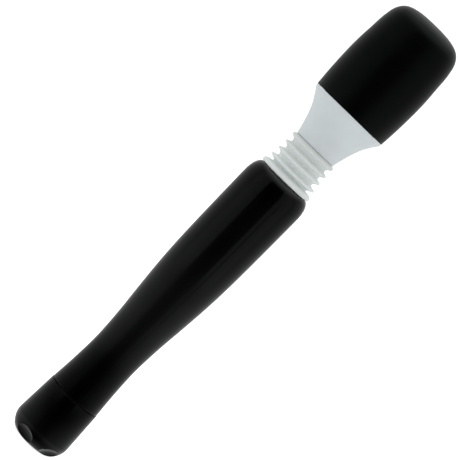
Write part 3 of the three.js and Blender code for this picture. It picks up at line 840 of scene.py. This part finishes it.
def door():
    """The plug under the cells, with its seal and the spring that presses on them."""
    bottom, top = low("door_plug"), high("door_plug")
    loop = [
        (PLUG["hub_bore"], bottom),
        (PLUG["radius"], bottom, 0.3),
        *PLUG_SIDE,
        (PLUG["radius"], top, 0.4),
        (PLUG["cup"], top, 0.25),
        (PLUG["cup"], PLUG["floor"]),
        (PLUG["hub_bore"], PLUG["floor"]),
    ]
    plug = lathe("door_plug_body", loop, segments=96)
    channel = upright_block("channel", **TERMINAL_CHANNEL, bottom=PLUG["floor"], top=top + 1)
    finished(cut(plug, [channel]), SATIN_BLACK, "battery_door", "satin_black", "door_plug")

    middle = (low("door_seal") + high("door_seal")) / 2
    ring = arc((SEAL["reach"], middle), SEAL["radius"], SEAL["radius"], 0, 337.5, 15)
    seal = lathe("door_o_ring", ring, segments=96)
    finished(seal, NITRILE, "battery_door", "seal", "door_seal")

    line = coil(low("contact_spring"), high("contact_spring"), **CONTACT_SPRING)
    spring = tube("door_contact_spring", line, CONTACT_SPRING["wire"])
    finished(spring, STEEL, "battery_door", "steel", "contact_spring")


door()


# ------------------------------------------------------------------ cells

JACKET_BANDS = [  # each from that share of the cell's height up; the first and last are bare steel
    (0.0, grey(0.55)),
    (0.012, (0.02, 0.045, 0.09)),
    (0.7, (0.5, 0.5, 0.48)),
    (0.712, (0.42, 0.19, 0.05)),
    (0.965, grey(0.55)),
]
JACKET_WEAR = {"edges": (0.45, 0.75), "most": 0.04, "colour": grey(0.3)}
JACKET_ROUGHNESS = (0.18, 0.3)


def cell_jacket(name, bottom, top):
    """A plain two-tone sleeve between bare steel ends."""
    material = bpy.data.materials.new(name)
    material.use_nodes = True
    g = Graph(material.node_tree)
    place = g.node("ShaderNodeTexCoord").outputs["Object"]
    height = g.node("ShaderNodeSeparateXYZ", {0: place}).outputs[2]
    share = g.remap(height, bottom * MM, top * MM)
    bands = g.node("ShaderNodeValToRGB", {0: share})
    bands.color_ramp.interpolation = "CONSTANT"
    points = bands.color_ramp.elements
    while len(points) < len(JACKET_BANDS):
        points.new(0.5)
    for point, (start, colour) in zip(points, JACKET_BANDS):
        point.position = start
        point.color = (*colour, 1)
    worn = g.remap(g.noise(place, 4, detail=5), *JACKET_WEAR["edges"], 0.0, JACKET_WEAR["most"])
    lower_end = g.maths("LESS_THAN", share, JACKET_BANDS[1][0])
    upper_end = g.maths("GREATER_THAN", share, JACKET_BANDS[-1][0])
    inputs = {
        "Base Color": g.blend(worn, bands.outputs[0], (*JACKET_WEAR["colour"], 1)),
        "Metallic": g.maths("MAXIMUM", lower_end, upper_end),
        "Roughness": g.remap(g.noise(place, 6, detail=4), *NOISE_SPAN, *JACKET_ROUGHNESS),
        "Normal": g.bump(g.noise(place, 2), 0.002),
    }
    shader = g.node("ShaderNodeBsdfPrincipled", inputs)
    g.node("ShaderNodeOutputMaterial", {"Surface": shader.outputs[0]})
    return material


CELL_FOOT = [  # heights from the cell's lower end
    (0, 0.15),
    (5.2, 0.15),
    (5.6, 0, 0.2),
    (6.75, 0, 0.3),
    (7.1, 0.5, 0.3),
]
CELL_HEAD = [  # heights from the top of the cell's nub
    (7.1, -1.9, 0.4),
    (6.4, -1.25, 0.3),
    (5.9, -1.65, 0.2),
    (4.2, -1.5, 0.3),
    (2.75, -1.3, 0.3),
    (2.75, 0, 0.35),
    (0, 0),
]


def cell(node, body):
    """An AA cell, its nub up."""
    bottom, top = low(node), high(node)
    loop = [*raised(CELL_FOOT, bottom), *raised(CELL_HEAD, top)]
    made = lathe(f"{node}_body", loop, segments=96)
    finished(made, cell_jacket(f"{node}_jacket", bottom, top), body, "cell", node)


cell("lower_cell", "lower_battery")
cell("upper_cell", "upper_battery")


# ------------------------------------------------------------------ neck

SPLIT = (joint_height("neck_tilt_side") + joint_height("neck_tilt_front")) / 2
SLEEVE_RADIUS = 8.6
SLEEVE_BORE = 6.4
SEAT_GAP = 0.3  # between the handle's top and the sleeve's flange
RIM_GAP = 0.13  # between the top rib and the collar
RIBS = [(144.55, 11.05), (148.1, 10.65), (151.65, 10.4)]  # height and radius of the free ones
RIB_DRAFT = 0.2  # how far the tube swells at each rib; the groove over it is half as deep
SNAP_FOOT = {"radius": 9.2, "top": 133, "neck": 8.4}  # what holds the sleeve in its bush
FLANGE = [  # heights from its seat on the handle
    (11.6, 0, 0.3),
    (12, 0.8, 0.5),
    (11.75, 1.45, 0.5),
    (10.8, 2.05, 0.4),
    (SLEEVE_RADIUS, 2.45, 0.4),
    (SLEEVE_RADIUS, 2.75),
]
TOP_RIB = [  # heights from its upper face
    (SLEEVE_RADIUS + RIB_DRAFT, -2.4, 0.6),
    (10.35, -1.6, 0.4),
    (10.35, -0.8, 0.4),
    (9.3, 0, 0.3),
]
TONGUE = {"neck": 7.5, "bottom": 160.3, "radius": 8}  # what holds the collar on the sleeve
LONGEST_RUN = 0.5  # of a bending piece's outline, in millimetres


def rib(height, tip):
    """A thin rib that flares into the tube, with a shallow groove over it."""
    loop = [
        (SLEEVE_RADIUS + RIB_DRAFT, -1.25, 0.8),
        (tip, -0.34, 0.32),
        (tip, 0.3, 0.28),
        (SLEEVE_RADIUS + RIB_DRAFT, 0.9, 0.5),
        (SLEEVE_RADIUS - 0.5 * RIB_DRAFT, 1.3, 0.3),
        (SLEEVE_RADIUS, 1.7, 0.3),
    ]
    return raised(loop, height)


def neck_piece(piece, material, node, lower):
    """Dresses half of a neck piece, hides its CAD node and bakes its place into its mesh."""
    piece.data.materials.append(material)
    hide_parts(node)
    if lower:
        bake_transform(piece)
    else:
        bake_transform(piece)


def dense(loop):
    """The loop with its long straight runs cut up into short steps."""
    made = []
    for i, (r, z) in enumerate(loop):
        made.append((r, z))
        after = loop[(i + 1) % len(loop)]
        steps = math.ceil(math.dist((r, z), after) / LONGEST_RUN)
        for k in range(1, steps):
            made.append((r + (after[0] - r) * k / steps, z + (after[1] - z) * k / steps))
    return made


def sleeve():
    """The ribbed sleeve, in two halves that meet at the middle of the bend."""
    foot, top = low("neck_sleeve"), high("neck_sleeve")
    seat = high("handle_shell") + SEAT_GAP
    rim = low("head_collar") - RIM_GAP
    lower = [
        (SLEEVE_BORE, foot),
        (SNAP_FOOT["radius"], foot, 0.2),
        (SNAP_FOOT["radius"], SNAP_FOOT["top"], 0.2),
        (SNAP_FOOT["neck"], SNAP_FOOT["top"]),
        (SNAP_FOOT["neck"], seat),
        *raised(FLANGE, seat),
        *rib(*RIBS[0]),
        *rib(*RIBS[1]),
        (SLEEVE_RADIUS, SPLIT),
        (SLEEVE_BORE, SPLIT),
    ]
    upper = [
        (SLEEVE_BORE, SPLIT),
        (SLEEVE_RADIUS, SPLIT),
        *rib(*RIBS[2]),
        *raised(TOP_RIB, rim),
        (TONGUE["neck"], rim),
        (TONGUE["neck"], TONGUE["bottom"]),
        (TONGUE["radius"], TONGUE["bottom"], 0.15),
        (TONGUE["radius"], top, 0.3),
        (SLEEVE_BORE, top),
    ]
    for name, loop in (("neck_sleeve_lower", lower), ("neck_sleeve_upper", upper)):
        half = lathe(name, dense(rounded(loop)))
        neck_piece(half, WHITE_FLEXIBLE, "neck_sleeve", loop is lower)


def split_wire(name, points, radius, material):
    """A wire through the neck, in two halves that meet at the middle of the bend."""
    at = min(range(len(points)), key=lambda i: abs(points[i][2] - SPLIT))
    for half, run in (("lower", points[: at + 1]), ("upper", points[at:])):
        piece = tube(f"{name}_{half}", run, radius, sides=10)
        neck_piece(piece, material, name, half == "lower")


NECK_SPRING = {"wire": 0.4, "turns": 10, "radius": 5.55, "steps": 30}
LEAD_RADIUS = 0.6
RED_PATH = [  # from the battery's positive end up to the motor
    (0, 0, 122.1),
    (0.2, -0.3, 124.2),
    (1.1, -1.2, 128),
    (1.5, -0.8, 134),
    (1.9, 0.6, 141),
    (1.7, 1.3, 148),
    (1.9, 0.4, 155),
    (1.6, -0.4, 162),
    (1.6, -0.3, 167),
    (1.8, -0.2, 169.6),
    (2.9, -0.1, 171.5),
    (5.1, 0, 172),
]
BLACK_PATH = [  # from the return strip up to the motor
    (0, 7.9, 122),
    (-0.6, 6.4, 123),
    (-1.4, 3.2, 124.6),
    (-1.3, 1.2, 128.4),
    (-1.2, 0.9, 134),
    (-1.7, -0.4, 141),
    (-1.8, -1.2, 148),
    (-1.7, -0.4, 155),
    (-1.5, 0.4, 162),
    (-1.6, 0.3, 167),
    (-1.8, 0.2, 169.6),
    (-2.9, 0.1, 171.5),
    (-5.1, 0, 172),
]


def neck_inside():
    """The spring in the sleeve and the two leads to the motor."""
    line = coil(low("neck_spring"), high("neck_spring"), **NECK_SPRING)
    split_wire("neck_spring", line, NECK_SPRING["wire"], STEEL)
    red = through(RED_PATH, steps=90)
    split_wire("red_lead", red, LEAD_RADIUS, RED_LEAD)
    black = through(BLACK_PATH, steps=90)
    split_wire("black_lead", black, LEAD_RADIUS, BLACK_LEAD)


sleeve()
neck_inside()


# ------------------------------------------------------------------ head

FLARE = [
    (9.35, 156.7),
    (9.9, 159.2),
    (10.65, 162),
    (11.65, 165.2),
    (13.15, 168.8),
    (15.1, 172.1),
    (16.2, 173.7),
    (16.65, 174.5),
    (16.8, 175.2),
]
COVER_OUTLINE = [
    (16.85, 175.5),
    (17.3, 181.5),
    (17.6, 188.5),
    (17.7, 194.5),
    (17.55, 199.8),
    (17.25, 204),
    (16.9, 209.8),
    (16.5, 212.7),
    (16, 215.1),
    (15.2, 217),
    (13.85, 218.8),
    (11.7, 220.25),
    (8, 221.25),
    (4, 221.55),
    (0, 221.6),
]
COLLAR = {"socket": 7.7, "spigot": 13.1, "mouth": 11.7}
COLLAR_BORE = [(11.7, 171), (10.6, 167.2), (9.1, 163.2), (8.5, 160), (7.7, 160)]
COVER_SEAT = 0.06  # how far the cover's lower edge sits above the collar's rim
COVER_HOLLOW = {"corner": (9, 211), "across": 6.3, "along": 8.1}


def collar():
    """The flared collar, with the spigot that the inner dome stands over."""
    top = high("head_collar")
    flare = through(FLARE, steps=48)
    loop = [
        (COLLAR["socket"], FLARE[0][1], 0.2),
        (*flare[0], 0.3),
        *flare[1:-1],
        (*flare[-1], 0.12),
        (COLLAR["spigot"], FLARE[-1][1]),
        (COLLAR["spigot"], top, 0.3),
        (COLLAR["mouth"], top, 0.2),
        *COLLAR_BORE,
    ]
    body = lathe("collar", loop, segments=160)
    finished(body, WHITE_SHELL, "head", "white_shell", "head_collar")


def cover():
    """The soft cover of the head, a hollow shell."""
    bottom = FLARE[-1][1] + COVER_SEAT
    corner, across, along = COVER_HOLLOW.values()
    loop = [
        (0, corner[1] + along),
        *arc(corner, across, along, 90, 0),
        (corner[0] + across, bottom, 0.2),
        (COVER_OUTLINE[0][0], bottom, 0.35),
        *through(COVER_OUTLINE, steps=84)[3:],
    ]
    body = lathe("soft_cover", loop, segments=160)
    finished(body, SOFT_BLACK, "head", "soft_cover", "head_cover")


collar()
cover()


# ------------------------------------------------------------------ pieces that keep their CAD shape

CAD_FINISH = {
    "speed_wiper": BRASS,
    "dial_clip": STEEL,
    "door_terminal": BRASS,
    "speed_track": BOARD,
    "contact_plate": BRASS,
    "battery_tube": NATURAL,
    "bus_strip": BRASS,
    "contact_carrier": NATURAL,
    "positive_contact": BRASS,
    "neck_socket": SATIN_BLACK,
    "head_dome": WHITE_SHELL,
    "motor_cradle": NATURAL,
    "motor_clamp": NATURAL,
    "clamp_screw_front": STEEL,
    "clamp_screw_rear": STEEL,
    "motor_can": STEEL,
    "motor_end_bell": NATURAL,
    "motor_terminal_red": COPPER,
    "motor_terminal_black": COPPER,
    "magnet_left": FERRITE,
    "magnet_right": FERRITE,
    "armature": COPPER,
    "commutator": COPPER,
    "motor_shaft": STEEL,
    "eccentric_weight": BRASS,
}
for node, material in CAD_FINISH.items():
    holder = frame["nodes"][node]
    if not holder.material_slots:
        holder.data.materials.append(material)
    for material_slot in holder.material_slots:
        material_slot.material = material
